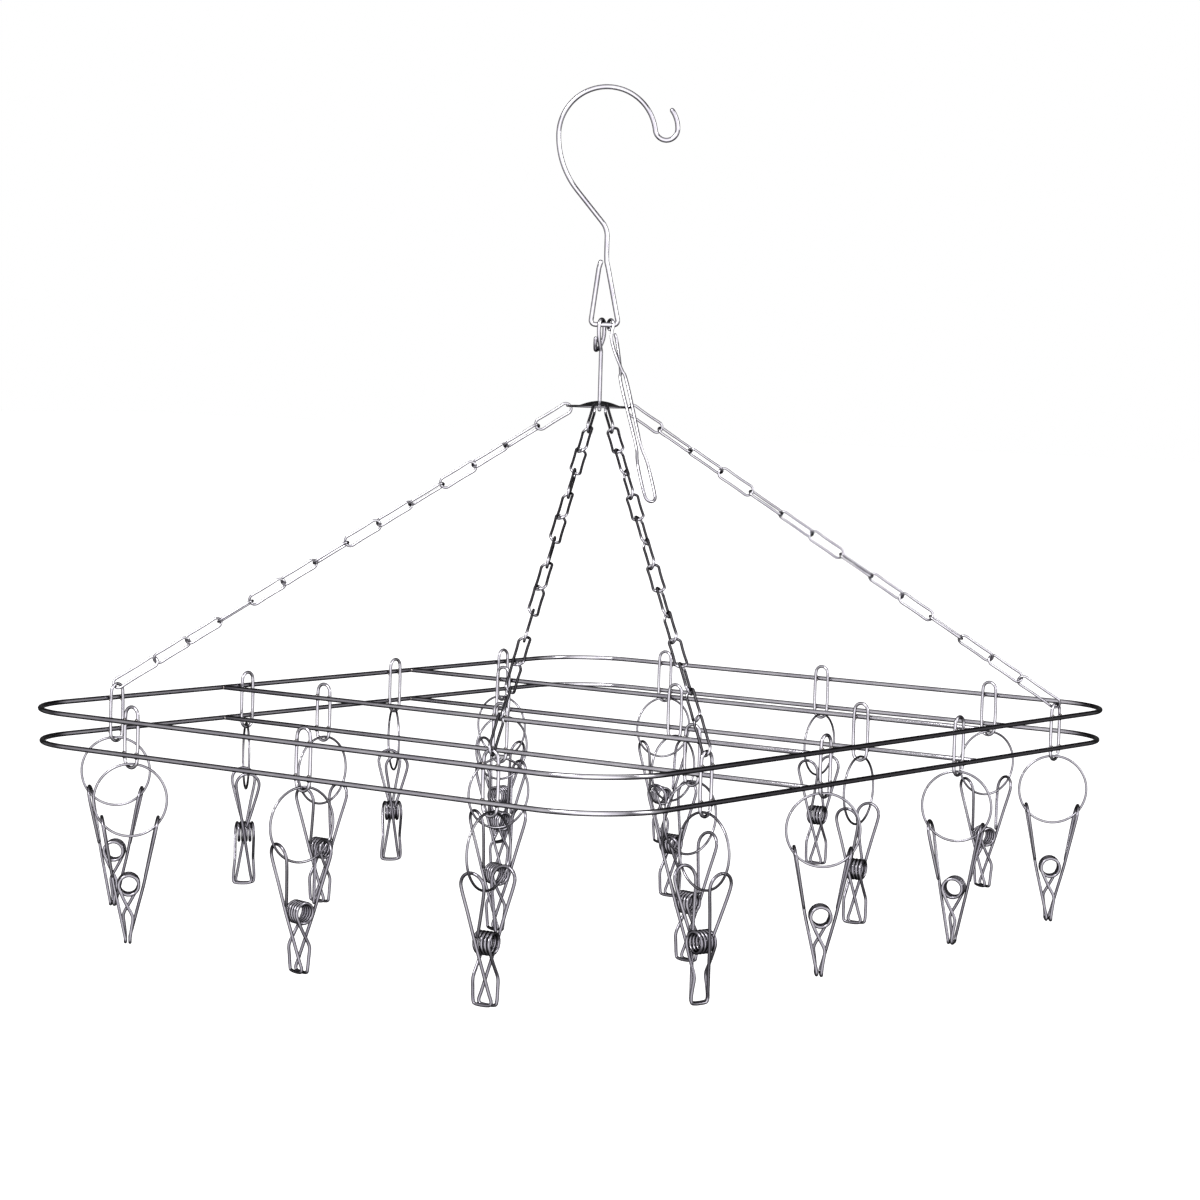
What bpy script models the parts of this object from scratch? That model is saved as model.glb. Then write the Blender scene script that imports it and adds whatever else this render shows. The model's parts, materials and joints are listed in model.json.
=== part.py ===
"""Clip drying hanger: a two-tier wire frame hung by four chains from a swivel hook, with clips on rings.

Metres, +Z up. The origin is the point inside the top of the hook that rests on the clothes rail.
X runs along the frame's long sides and Y along its short sides.
"""
import math

import bmesh
import bpy
from mathutils import Matrix, Vector

COLLECTION = "clip_drying_hanger"
CUTTERS = "cutters"

CLEARANCE = 0.0003          # air left between pieces that touch
WELD_DEPTH = 0.00035        # how far welded wires sink into each other

# Frame
FRAME_LENGTH = 0.404        # centre line to centre line, along X
FRAME_WIDTH = 0.323         # centre line to centre line, along Y
FRAME_DROP = 0.2755         # hang point down to the upper tier
CORNER_RADIUS = 0.035
FRAME_WIRE = 0.0022
TIER_GAP = 0.014            # upper wire down to lower wire
CROSSBAR_OFFSET = 0.0667    # each crossbar from the middle of the frame

# Upright loops welded inside the frame wires
LOOP_WIRE = 0.0015
LOOP_HEIGHT = 0.027         # over the outside
LOOP_WIDTH = 0.0085         # over the outside
LOOP_RISE = 0.007           # top of the loop above the upper wire
LONG_SIDE_OUTER = 0.138     # loops on the long sides, from the middle
LONG_SIDE_INNER = 0.053
SHORT_SIDE_OUTER = 0.096    # loops on the short sides, from the middle
SHORT_SIDE_SHIFT = 0.007    # each short side's loops sit this far off centre, in opposite directions
CROSSBAR_OUTER = 0.102      # loops on the crossbars, from the middle

# Clip rings
RING_WIRE = 0.0011
RING_OUTER = 0.0315
RING_STEPS = 14

# Clips, each bent from one wire; heights and widths are to the wire's centre line
CLIP_WIRE = 0.0014
CLIP_SPREAD = 0.0234        # between the tops of the two handle loops
CLIP_HANDLE = 0.0285        # coil centre up to the handle tops
CLIP_HANDLE_WIDTH = 0.0106
CLIP_JAW = 0.0240           # coil centre down to the jaw tips
CLIP_JAW_WIDTH = 0.0098
JAW_GAP = 0.0005            # between the two jaw wires
COIL_DIAMETER = 0.0084
COIL_TURNS = 4.5
COIL_LEAD = math.radians(30)        # how far under the coil's side the wire meets it
COIL_STEPS = 5              # points in each turn

# Hook
HOOK_TURN = math.radians(-52.5)
HOOK_WIRE = 0.0022
HOOK_RADIUS = 0.0215
HOOK_BACK_RADIUS = 0.038
HOOK_BACK_TURN = math.radians(40)
HOOK_NECK_RADIUS = 0.010
HOOK_CURL_RADIUS = 0.005
HOOK_EYE_TOP = 0.076        # hang point down to the top of the triangular eye
HOOK_EYE_BOTTOM = 0.104     # hang point down to the wire along the bottom of that eye
HOOK_EYE_LEFT = 0.0048      # corners of the eye, from the swivel's axis
HOOK_EYE_RIGHT = 0.0070
HOOK_EYE_CORNER = 0.0018

# Swivel eye rod and chain plate
ROD_WIRE = 0.0018
ROD_EYE_HEIGHT = 0.0160     # over the outside
ROD_EYE_WIDTH = 0.0085      # over the outside
ROD_EYE_TURN = math.radians(10)
ROD_HEAD_RADIUS = 0.0026
ROD_HEAD_THICKNESS = 0.0012
PLATE_DROP = 0.1405         # hang point down to the plate's middle
PLATE_RADIUS = 0.015
PLATE_THICKNESS = 0.0008
DOME_RADIUS = 0.0095
DOME_RISE = 0.0022          # middle of the dome above the flat brim
PLATE_HOLE_RADIUS = 0.0021
PLATE_HOLE_CIRCLE = 0.0122

# Chains
CHAIN_WIRE = 0.0012
LINK_WIDTH = 0.0060         # over the outside
LINKS = 14
END_LINK_SHARE = 1.27       # the last link is this much longer than the others
LINK_TWIST = math.radians(118)
CHAIN_OVERLAP = 0.0006      # how deep neighbouring links are merged

# Safety clip
SAFETY_WIRE = 0.0014
SAFETY_LENGTH = 0.085
SAFETY_GAP = 0.0018         # along the hook's eye, beyond one hook wire from the swivel's axis
SAFETY_DIRECTION = math.radians(-110)       # the way it leans out, over the plate's brim
SAFETY_CROSS = 0.023        # from the pivot down to where its legs first cross
SAFETY_WAIST = 0.060        # from the pivot down to where the end loop starts
SAFETY_HALF_WIDTH = 0.0027
SAFETY_LEG_SPREAD = 0.0019  # half the distance between its legs near the hook
SAFETY_LEG_CLOSE = 0.0008   # half the distance between its legs below their crossing

UPPER_Z = -FRAME_DROP
LOWER_Z = UPPER_Z - TIER_GAP
LOOP_TOP_Z = UPPER_Z + LOOP_RISE - LOOP_WIRE / 2
LOOP_BOTTOM_Z = UPPER_Z + LOOP_RISE - LOOP_HEIGHT + LOOP_WIRE / 2
LOOP_INSET = (FRAME_WIRE + LOOP_WIRE) / 2 - WELD_DEPTH
UPPER_SPREAD = WELD_DEPTH + CLEARANCE
RING_RADIUS = (RING_OUTER - RING_WIRE) / 2
RING_OFFSET = (LOOP_WIRE + RING_WIRE) / 2 + CLEARANCE
CLIP_OFFSET = (CLIP_WIRE + RING_WIRE) / 2 + CLEARANCE
CLIP_TOP_RADIUS = RING_RADIUS - CLIP_OFFSET
SAFETY_OFFSET = SAFETY_GAP + HOOK_WIRE
CLIP_TOP_DROP = math.sqrt(CLIP_TOP_RADIUS ** 2 - (CLIP_SPREAD / 2) ** 2)

ALONG_X, ALONG_Y = 0.0, math.pi / 2


def clear_scene():
    for obj in list(bpy.data.objects):
        bpy.data.objects.remove(obj, do_unlink=True)


def make_collection(name):
    collection = bpy.data.collections.new(name)
    bpy.context.scene.collection.children.link(collection)
    return collection


def make_material(name, color, roughness):
    material = bpy.data.materials.new(name)
    material.use_nodes = True
    shader = material.node_tree.nodes["Principled BSDF"]
    shader.inputs["Base Color"].default_value = (*color, 1.0)
    shader.inputs["Metallic"].default_value = 1.0
    shader.inputs["Roughness"].default_value = roughness
    return material


def add_object(name, mesh, material, collection):
    obj = bpy.data.objects.new(name, mesh)
    if not mesh.materials:
        mesh.materials.append(material)
    collection.objects.link(obj)
    return obj


def hide_cutter(obj):
    obj.hide_render = True
    obj.display_type = "WIRE"


def wire_mesh(name, paths, diameter, closed=False, sides=6):
    """A mesh of one round wire along each path of points."""
    curve = bpy.data.curves.new(name, "CURVE")
    curve.dimensions = "3D"
    curve.bevel_depth = diameter / 2
    curve.bevel_resolution = (sides - 4) // 2
    curve.use_fill_caps = not closed
    for points in paths:
        spline = curve.splines.new("POLY")
        spline.points.add(len(points) - 1)
        spline.use_cyclic_u = closed
        for point, place in zip(spline.points, points):
            point.co = (*place, 1.0)
    guide = bpy.data.objects.new(name + "_guide", curve)
    bpy.context.scene.collection.objects.link(guide)
    graph = bpy.context.evaluated_depsgraph_get()
    mesh = bpy.data.meshes.new_from_object(guide.evaluated_get(graph))
    bpy.data.objects.remove(guide)
    bpy.data.curves.remove(curve)
    return weld_mesh(mesh, name)


def weld_mesh(mesh, name):
    shape = bmesh.new()
    shape.from_mesh(mesh)
    bmesh.ops.remove_doubles(shape, verts=shape.verts, dist=1e-6)
    bmesh.ops.recalc_face_normals(shape, faces=shape.faces)
    shape.to_mesh(mesh)
    shape.free()
    mesh.name = name
    mesh.shade_smooth()
    mesh.set_sharp_from_angle(angle=math.radians(50))
    return mesh


def fuse(name, meshes, material):
    """One closed mesh from overlapping ones, with Boolean unions that are applied here."""
    scratch = bpy.data.collections.new(name + "_parts")
    bpy.context.scene.collection.children.link(scratch)
    body = add_object(name + "_body", meshes[0], material, bpy.context.scene.collection)
    others = [add_object(f"{name}_{i}", mesh, material, scratch) for i, mesh in enumerate(meshes[1:])]
    union = body.modifiers.new("union", "BOOLEAN")
    union.operation = "UNION"
    union.solver = "EXACT"
    union.operand_type = "COLLECTION"
    union.collection = scratch
    graph = bpy.context.evaluated_depsgraph_get()
    fused = bpy.data.meshes.new_from_object(body.evaluated_get(graph))
    for obj in [body, *others]:
        bpy.data.objects.remove(obj)
    bpy.data.collections.remove(scratch)
    return weld_mesh(fused, name)


def arc(center, radius, start, end, steps):
    """Points in a plane along an arc, both ends included, with angles in radians."""
    return [
        (center[0] + radius * math.cos(start + (end - start) * i / steps),
         center[1] + radius * math.sin(start + (end - start) * i / steps))
        for i in range(steps + 1)
    ]


def stadium(length, width, steps):
    """A closed outline with round ends, its long axis along the second coordinate."""
    radius, reach = width / 2, (length - width) / 2
    top = arc((0, reach), radius, 0, math.pi, steps)
    bottom = arc((0, -reach), radius, math.pi, 2 * math.pi, steps)
    return top + bottom


def rounded_rectangle(length, width, radius, steps):
    points = []
    for quarter, (sx, sy) in enumerate(((1, 1), (-1, 1), (-1, -1), (1, -1))):
        center = (sx * (length / 2 - radius), sy * (width / 2 - radius))
        start = quarter * math.pi / 2
        points += arc(center, radius, start, start + math.pi / 2, steps)
    return points


def horizontal(angle):
    return Vector((math.cos(angle), math.sin(angle), 0))


def loop_sites():
    """Each upright loop as (x, y, direction of its flat side, turn of the ring that hangs on it)."""
    long_y, short_x = FRAME_WIDTH / 2 - LOOP_INSET, FRAME_LENGTH / 2 - LOOP_INSET
    bar_x = CROSSBAR_OFFSET - LOOP_INSET
    long_x = (-LONG_SIDE_OUTER, -LONG_SIDE_INNER, LONG_SIDE_INNER, LONG_SIDE_OUTER)
    short_y = (SHORT_SIDE_OUTER, 0, -SHORT_SIDE_OUTER)
    bar_y = (CROSSBAR_OUTER, 0, -CROSSBAR_OUTER)
    rows = (
        [(x, long_y, ALONG_X, turn) for x, turn in zip(long_x, (37, -42, -40, 0))],
        [(x, -long_y, ALONG_X, turn) for x, turn in zip(long_x, (-15, 37, 20, 35))],
        [(-short_x, y - SHORT_SIDE_SHIFT, ALONG_Y, turn) for y, turn in zip(short_y, (-45, -14, 5))],
        [(short_x, y + SHORT_SIDE_SHIFT, ALONG_Y, turn) for y, turn in zip(short_y, (-26, 4, -26))],
        [(-bar_x, y, ALONG_Y, turn) for y, turn in zip(bar_y, (-3, -20, -10))],
        [(bar_x, y, ALONG_Y, turn) for y, turn in zip(bar_y, (-15, -5, 7))],
    )
    return [site for row in rows for site in row]


def loop_mesh(site):
    """One upright oval loop whose flat side runs along the wire it is welded to."""
    x, y, direction, _ = site
    side = horizontal(direction)
    middle = Vector((x, y, (LOOP_TOP_Z + LOOP_BOTTOM_Z) / 2))
    outline = stadium(LOOP_HEIGHT - LOOP_WIRE, LOOP_WIDTH - LOOP_WIRE, 4)
    points = [middle + side * u + Vector((0, 0, v)) for u, v in outline]
    return wire_mesh("loop", [points], LOOP_WIRE, closed=True, sides=4)


def ring_wire(name, z, spread):
    outline = rounded_rectangle(
        FRAME_LENGTH + 2 * spread, FRAME_WIDTH + 2 * spread, CORNER_RADIUS + spread, 5)
    return wire_mesh(name, [[(x, y, z) for x, y in outline]], FRAME_WIRE, closed=True)


def crossbar_wire(name, x, z):
    reach = FRAME_WIDTH / 2 - FRAME_WIRE / 2 - CLEARANCE
    return wire_mesh(name, [[(x, -reach, z), (x, reach, z)]], FRAME_WIRE)


def build_frame(material, collection):
    """Two tiers of wire: the lower one carries the upright loops, and the upper one rests outside them."""
    sites = loop_sites()
    rim = [site for site in sites if abs(site[0]) > CROSSBAR_OFFSET or abs(site[1]) > CROSSBAR_OUTER + CORNER_RADIUS]
    lower = fuse("lower_frame_wire", [ring_wire("lower", LOWER_Z, 0)] + [loop_mesh(s) for s in rim], material)
    add_object("lower_frame_wire", lower, material, collection)
    upper = ring_wire("upper_frame_wire", UPPER_Z, UPPER_SPREAD)
    add_object("upper_frame_wire", upper, material, collection)
    for side, name in ((-1, "left"), (1, "right")):
        x = side * CROSSBAR_OFFSET
        own = [site for site in sites if site not in rim and site[0] * side > 0]
        label = f"lower_crossbar_{name}"
        bar = fuse(label, [crossbar_wire(label, x, LOWER_Z)] + [loop_mesh(s) for s in own], material)
        add_object(label, bar, material, collection)
        label = f"upper_crossbar_{name}"
        bar = crossbar_wire(label, x + side * UPPER_SPREAD, UPPER_Z)
        add_object(label, bar, material, collection)


def hook_path():
    """Points (across, up) from the hook's curled tip, over the rail and down to the end of its eye."""
    middle = (0, HOOK_WIRE / 2 - HOOK_RADIUS)
    tip_turn = math.radians(8)
    start = (middle[0] + HOOK_RADIUS * math.cos(tip_turn), middle[1] + HOOK_RADIUS * math.sin(tip_turn))
    curl = (start[0] + HOOK_CURL_RADIUS * math.cos(tip_turn), start[1] + HOOK_CURL_RADIUS * math.sin(tip_turn))
    tip_radius = 2.8 * HOOK_CURL_RADIUS
    tip_center = (curl[0] + HOOK_CURL_RADIUS - tip_radius, curl[1])
    points = arc(tip_center, tip_radius, math.radians(36), 0, 3)[:-1]
    points += arc(curl, HOOK_CURL_RADIUS, 0, -math.pi + tip_turn, 7)
    points += arc(middle, HOOK_RADIUS, tip_turn, math.pi, 18)[1:]
    back = (middle[0] - HOOK_RADIUS + HOOK_BACK_RADIUS, middle[1])
    points += arc(back, HOOK_BACK_RADIUS, math.pi, math.pi + HOOK_BACK_TURN, 5)[1:]
    shaft = (HOOK_WIRE + CLEARANCE) / 2
    last = points[-1]
    slope = 1 / math.tan(HOOK_BACK_TURN)
    bend = HOOK_NECK_RADIUS * (1 - math.cos(HOOK_BACK_TURN))
    neck_start = (shaft - bend, last[1] - (shaft - bend - last[0]) * slope)
    neck = (neck_start[0] - HOOK_NECK_RADIUS * math.cos(HOOK_BACK_TURN),
            neck_start[1] - HOOK_NECK_RADIUS * math.sin(HOOK_BACK_TURN))
    points += arc(neck, HOOK_NECK_RADIUS, HOOK_BACK_TURN, 0, 4)
    points.append((shaft, -HOOK_EYE_TOP))
    corner, bottom = HOOK_EYE_CORNER, -HOOK_EYE_BOTTOM
    points += arc((HOOK_EYE_RIGHT - corner, bottom + corner), corner, math.radians(10), -math.pi / 2, 4)
    points += arc((corner - HOOK_EYE_LEFT, bottom + corner), corner, -math.pi / 2, -math.radians(190), 4)
    points.append((-shaft, -HOOK_EYE_TOP - CLEARANCE))
    return points


def build_hook(material, collection):
    across = horizontal(HOOK_TURN)
    points = [across * h + Vector((0, 0, v)) for h, v in hook_path()]
    add_object("hook", wire_mesh("hook", [points], HOOK_WIRE), material, collection)


def build_rod(material, collection):
    """The rod's eye hangs on the bottom wire of the hook's eye, and its head carries the chain plate."""
    pivot = Vector((0, 0, -HOOK_EYE_BOTTOM))
    side = horizontal(ROD_EYE_TURN)
    top = (HOOK_WIRE + ROD_WIRE) / 2 + CLEARANCE
    height, half = ROD_EYE_HEIGHT - ROD_WIRE, (ROD_EYE_WIDTH - ROD_WIRE) / 2
    low = top - height
    eye = arc((0, top - half), half, math.radians(-20), math.pi, 6)
    eye += [(-half, low + 1.2 * half), (-0.45 * half, low + 0.4 * half), (0, low)]
    eye.insert(0, (0.62 * half + ROD_WIRE / 2, low + 0.7 * half))
    plate_top = -PLATE_DROP + PLATE_THICKNESS / 2
    head_top = -PLATE_DROP - PLATE_THICKNESS / 2 - CLEARANCE
    points = [side * u + Vector((0, 0, v)) for u, v in eye]
    points += [Vector((0, 0, plate_top - pivot.z)), Vector((0, 0, head_top - ROD_HEAD_THICKNESS / 2 - pivot.z))]
    wire = wire_mesh("rod_wire", [points], ROD_WIRE)
    head = bmesh.new()
    bmesh.ops.create_cone(
        head, cap_ends=True, segments=12, radius1=ROD_HEAD_RADIUS, radius2=ROD_HEAD_RADIUS,
        depth=ROD_HEAD_THICKNESS,
        matrix=Matrix.Translation((0, 0, head_top - ROD_HEAD_THICKNESS / 2 - pivot.z)))
    head_mesh = bpy.data.meshes.new("rod_head")
    head.to_mesh(head_mesh)
    head.free()
    rod = add_object("swivel_eye_rod", fuse("swivel_eye_rod", [wire, head_mesh], material), material, collection)
    rod.location = pivot


def chain_directions():
    """Each chain as (name, x, y, direction of the loop that holds its last link)."""
    long_y, short_x = FRAME_WIDTH / 2 - LOOP_INSET, FRAME_LENGTH / 2 - LOOP_INSET
    return (
        ("chain_left", -LONG_SIDE_OUTER, long_y, ALONG_X),
        ("chain_right", LONG_SIDE_OUTER, -long_y, ALONG_X),
        ("chain_front_right", -LONG_SIDE_OUTER, -long_y, ALONG_X),
        ("chain_front_left", -short_x, -SHORT_SIDE_OUTER - SHORT_SIDE_SHIFT, ALONG_Y),
    )


def build_plate(material, collection, cutters):
    """A domed disc with a flat brim, turned about Z, with a hole for the rod and one for each chain."""
    rod_hole = ROD_WIRE / 2 + CLEARANCE
    half = PLATE_THICKNESS / 2
    shoulder = (0.6 * DOME_RADIUS, 0.75 * DOME_RISE)
    middle_line = [(rod_hole, DOME_RISE), shoulder, (DOME_RADIUS, 0), (PLATE_RADIUS, 0)]
    profile = [(r, z + half) for r, z in middle_line] + [(r, z - half) for r, z in reversed(middle_line)]
    mesh = bpy.data.meshes.new("chain_plate")
    edges = [(i, (i + 1) % len(profile)) for i in range(len(profile))]
    mesh.from_pydata([(r, 0, z) for r, z in profile], edges, [])
    plate = add_object("chain_plate", mesh, material, collection)
    plate.location = (0, 0, -PLATE_DROP)
    screw = plate.modifiers.new("turn", "SCREW")
    screw.steps = screw.render_steps = 24
    screw.merge_threshold = 0.00001
    screw.use_merge_vertices = True
    screw.use_smooth_shade = True
    for name, x, y, _ in chain_directions():
        direction = Vector((x, y, 0)).normalized()
        shape = bmesh.new()
        bmesh.ops.create_cone(shape, cap_ends=True, segments=8, radius1=PLATE_HOLE_RADIUS,
                              radius2=PLATE_HOLE_RADIUS, depth=0.008)
        cutter_mesh = bpy.data.meshes.new(f"{name}_hole")
        shape.to_mesh(cutter_mesh)
        shape.free()
        cutter = add_object(f"{name}_hole", cutter_mesh, material, cutters)
        cutter.location = plate.location + direction * PLATE_HOLE_CIRCLE
        hide_cutter(cutter)
        cut = plate.modifiers.new(name, "BOOLEAN")
        cut.operation = "DIFFERENCE"
        cut.solver = "EXACT"
        cut.object = cutter


def link_mesh(near, far, width_axis, width, steps):
    """One chain link whose end wires' centre lines pass through the two given points."""
    along = far - near
    outline = stadium(along.length, width - CHAIN_WIRE, steps)
    middle, direction = (near + far) / 2, along.normalized()
    points = [middle + width_axis * u + direction * v for u, v in outline]
    return wire_mesh("link", [points], CHAIN_WIRE, closed=True, sides=4)


def build_chain(name, x, y, loop_direction, material, collection):
    """Links that merge end to end, from a hole in the plate's brim down to the top of an upright loop."""
    radial = Vector((x, y, 0)).normalized()
    loop_top = Vector((x, y, LOOP_TOP_Z))
    edge = radial * (PLATE_HOLE_CIRCLE + PLATE_HOLE_RADIUS) - Vector((0, 0, PLATE_DROP))
    slope = (edge.z - loop_top.z) / (loop_top - edge).to_2d().length
    back = (CHAIN_WIRE / 2 + 1.5 * CLEARANCE) * math.hypot(1, slope) + PLATE_THICKNESS / 2 * slope
    start = edge - radial * back
    direction = (loop_top - start).normalized()
    end = loop_top + direction * ((LOOP_WIRE + CHAIN_WIRE) / 2 + 2 * CLEARANCE)
    merge = CHAIN_WIRE - CHAIN_OVERLAP
    pitch = ((end - start).length - merge) / (LINKS - 1 + END_LINK_SHARE)
    upright = direction.cross(radial).normalized().cross(direction)
    links = []
    for i in range(LINKS):
        turn = Matrix.Rotation(i * LINK_TWIST, 3, direction)
        near = start + direction * pitch * i
        far = end if i == LINKS - 1 else near + direction * (pitch + merge)
        width_axis = turn @ upright
        if i == LINKS - 1:
            width_axis = direction.cross(horizontal(loop_direction)).normalized()
        links.append(link_mesh(near, far, width_axis, LINK_WIDTH, 2 if 0 < i < LINKS - 1 else 4))
    add_object(name, fuse(name, links, material), material, collection)


def safety_clip_path(half, layer, over):
    """Points (across, forward, down) from one free end, round the closed end and up over the hook's eye."""
    tip = SAFETY_LENGTH - half
    leg, close = SAFETY_LEG_SPREAD, SAFETY_LEG_CLOSE
    left = [(leg, -layer, 0.3 * SAFETY_CROSS), (0, -layer, SAFETY_CROSS),
            (-close, -layer, SAFETY_CROSS + leg), (-close, -layer, SAFETY_WAIST),
            (-half, 0, SAFETY_WAIST + 3 * half), (-half, 0, tip)]
    bottom = [(u, 0, tip + v) for u, v in arc((0, 0), half, 0.8 * math.pi, 0.2 * math.pi, 3)]
    right = [(half, 0, tip), (half, 0, SAFETY_WAIST + 3 * half), (close, layer, SAFETY_WAIST),
             (close, layer, SAFETY_CROSS + leg), (0, layer, SAFETY_CROSS), (-leg, layer, 0.3 * SAFETY_CROSS)]
    curl = [(0, v, -u) for u, v in arc((0, 0), over, math.radians(110), math.radians(-130), 7)]
    return left + bottom + right + curl


def build_safety_clip(material, collection):
    """A long sprung hairpin that hangs on the hook's eye and leans out against the plate's brim."""
    layer = (SAFETY_WIRE + CLEARANCE) / 2
    skew = math.cos(SAFETY_DIRECTION + math.pi / 2 - HOOK_TURN)
    over = (HOOK_WIRE / skew + SAFETY_WIRE) / 2 + CLEARANCE
    drop = PLATE_DROP - PLATE_THICKNESS / 2 - HOOK_EYE_BOTTOM
    beyond = layer + SAFETY_WIRE / 2 + CLEARANCE
    lean = math.atan2(PLATE_RADIUS, drop) + math.asin(beyond / math.hypot(PLATE_RADIUS, drop))
    forward, across = horizontal(SAFETY_DIRECTION), horizontal(SAFETY_DIRECTION + math.pi / 2)
    turn = Matrix.Rotation(-lean, 3, across)
    points = [turn @ (across * u + forward * v - Vector((0, 0, w)))
              for u, v, w in safety_clip_path(SAFETY_HALF_WIDTH, layer, over)]
    clip = add_object("safety_clip", wire_mesh("safety_clip", [points], SAFETY_WIRE), material, collection)
    clip.location = horizontal(HOOK_TURN) * SAFETY_OFFSET - Vector((0, 0, HOOK_EYE_BOTTOM))


def ring_mesh():
    """A round ring whose origin is on the bottom wire of the loop that holds it, with its axis along X."""
    outline = arc((0, RING_OFFSET - RING_RADIUS), RING_RADIUS, math.pi / 2, 2.5 * math.pi, RING_STEPS)[:-1]
    return wire_mesh("ring", [[(0, y, z) for y, z in outline]], RING_WIRE, closed=True, sides=4)


def half_clip_path():
    """Half of a clip's wire as (along the coil, across, up from the coil): handle loop, leg, jaw, back to the coil."""
    side, jaw_side = CLIP_HANDLE_WIDTH / 2, CLIP_JAW_WIDTH / 2
    beside = COIL_DIAMETER / 2 + CLIP_WIRE + 2 * CLEARANCE
    slope = (CLIP_SPREAD / 2 - beside) / CLIP_HANDLE
    jaw = (JAW_GAP + CLIP_WIRE) / 2

    def on_handle(along, drop):
        return (along, beside + slope * (CLIP_HANDLE - drop), CLIP_HANDLE - drop)

    bend, shoulder = CLIP_WIRE, CLIP_HANDLE - side
    lean = (side + jaw_side - bend) / (shoulder + CLIP_JAW - bend)
    tail_height = 0.12 * CLIP_HANDLE
    tail_along = side - lean * (shoulder - tail_height) - CLIP_WIRE - 1.5 * CLEARANCE
    tail = [on_handle(tail_along, CLIP_HANDLE - tail_height)]
    crown = [on_handle(side * math.cos(a), side * (1 - math.sin(a)))
             for a in (math.radians(180), math.radians(130), math.radians(90), math.radians(50), 0)]
    leg = [(side - lean * shoulder, beside, 0), (bend - jaw_side, jaw, bend - CLIP_JAW)]
    tip = [(2 * bend - jaw_side, jaw, -CLIP_JAW), (jaw_side - bend, jaw, -CLIP_JAW),
           (jaw_side, jaw, bend - CLIP_JAW)]
    kink = [(0.9 * jaw_side, 2 * jaw, -0.55 * CLIP_JAW)]
    return tail + crown + leg + tip + kink


def clip_mesh():
    """One sprung wire clip. Its origin is the centre of the ring that it hangs on."""
    radius, pitch = COIL_DIAMETER / 2, CLIP_WIRE + CLEARANCE
    turns = COIL_TURNS + COIL_LEAD / math.pi
    steps = int(turns * COIL_STEPS)
    coil = []
    for i in range(steps + 1):
        angle = math.pi + COIL_LEAD - 2 * math.pi * turns * i / steps
        along = pitch * turns * (0.5 - i / steps)
        coil.append((along, radius * math.cos(angle), radius * math.sin(angle)))
    half = half_clip_path()
    other_half = [(-along, -across, up) for along, across, up in reversed(half)]
    points = [(along, across, up - CLIP_HANDLE - CLIP_TOP_DROP) for along, across, up in half + coil + other_half]
    return wire_mesh("clip", [points], CLIP_WIRE, sides=4)


def build_rings_and_clips(ring_material, clip_material, collection):
    """Each ring hangs on its loop and turns about the loop's wire, and each clip rocks on its ring."""
    ring_shape = ring_mesh()
    clip_shape = clip_mesh()
    for number, (x, y, direction, turn) in enumerate(loop_sites(), start=1):
        ring = add_object(f"ring_{number:02d}", ring_shape, ring_material, collection)
        ring.location = (x, y, LOOP_BOTTOM_Z)
        ring.rotation_euler = (0, 0, direction + math.radians(turn))
        clip = add_object(f"clip_{number:02d}", clip_shape, clip_material, collection)
        clip.parent = ring
        clip.location = (0, 0, RING_OFFSET - RING_RADIUS)


def main():
    clear_scene()
    collection = make_collection(COLLECTION)
    cutters = make_collection(CUTTERS)
    frame_steel = make_material("frame_steel", (0.78, 0.78, 0.80), 0.20)
    hook_steel = make_material("hook_steel", (0.80, 0.80, 0.82), 0.15)
    chain_steel = make_material("chain_steel", (0.72, 0.72, 0.74), 0.22)
    ring_steel = make_material("ring_steel", (0.74, 0.74, 0.76), 0.18)
    clip_steel = make_material("clip_steel", (0.66, 0.66, 0.68), 0.22)
    build_hook(hook_steel, collection)
    build_safety_clip(hook_steel, collection)
    build_rod(hook_steel, collection)
    build_plate(chain_steel, collection, cutters)
    for chain in chain_directions():
        build_chain(*chain, chain_steel, collection)
    build_frame(frame_steel, collection)
    build_rings_and_clips(ring_steel, clip_steel, collection)


main()
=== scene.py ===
import json
import math
import random

import bmesh
import bpy
from mathutils import Matrix, Vector


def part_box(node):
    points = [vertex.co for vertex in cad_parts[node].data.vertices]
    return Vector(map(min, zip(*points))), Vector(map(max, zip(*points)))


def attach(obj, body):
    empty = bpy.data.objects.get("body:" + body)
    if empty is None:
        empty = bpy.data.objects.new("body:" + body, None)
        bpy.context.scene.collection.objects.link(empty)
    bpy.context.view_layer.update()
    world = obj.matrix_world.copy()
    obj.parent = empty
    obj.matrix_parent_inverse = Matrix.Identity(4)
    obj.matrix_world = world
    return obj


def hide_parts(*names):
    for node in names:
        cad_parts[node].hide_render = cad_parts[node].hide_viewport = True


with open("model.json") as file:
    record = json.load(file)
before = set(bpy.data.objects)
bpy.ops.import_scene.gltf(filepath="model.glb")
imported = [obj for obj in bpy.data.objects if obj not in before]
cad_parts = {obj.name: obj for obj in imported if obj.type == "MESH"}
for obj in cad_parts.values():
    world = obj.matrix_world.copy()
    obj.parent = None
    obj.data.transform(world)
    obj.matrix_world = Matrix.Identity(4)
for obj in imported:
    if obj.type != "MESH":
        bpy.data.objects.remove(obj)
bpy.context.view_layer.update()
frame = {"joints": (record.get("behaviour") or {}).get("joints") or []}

JOINTS = {joint["name"]: joint for joint in frame["joints"]}
UP = Vector((0, 0, 1))
CLEARANCE = 0.0003

# Wires, by diameter
HOOK_WIRE = 0.0022
ROD_WIRE = 0.0018
SAFETY_WIRE = 0.0014
CHAIN_WIRE = 0.0012
FRAME_WIRE = 0.0022
LOOP_WIRE = 0.0015
RING_WIRE = 0.0011
CLIP_WIRE = 0.0014

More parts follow.
